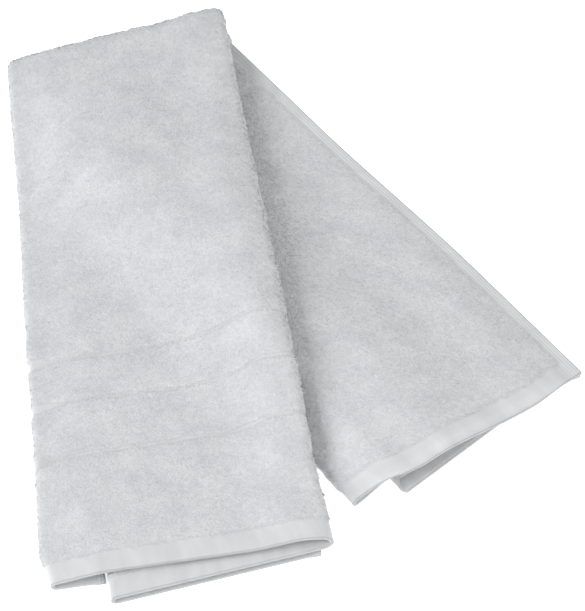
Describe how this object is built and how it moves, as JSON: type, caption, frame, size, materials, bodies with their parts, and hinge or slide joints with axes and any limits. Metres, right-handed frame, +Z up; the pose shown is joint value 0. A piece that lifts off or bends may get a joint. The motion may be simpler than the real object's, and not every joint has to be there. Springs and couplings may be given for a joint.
{
  "type": "folded hand towel",
  "caption": "White cotton terry hand towel, folded in three lengthwise and laid over crosswise, with two legs spread in a V.",
  "frame": {"origin": "middle of the underside, on the surface that the towel lies on", "axes": "+Z up, -Y towards the viewer in front of the hems, +X to the viewer's right"},
  "size_m": [0.3578, 0.4698, 0.036],
  "materials": {
    "terry_cloth": "matte cotton loop pile, flat woven hems and bands"
  },
  "bodies": {
    "root": {"towel_cloth": "terry_cloth"}
  },
  "joints": []
}
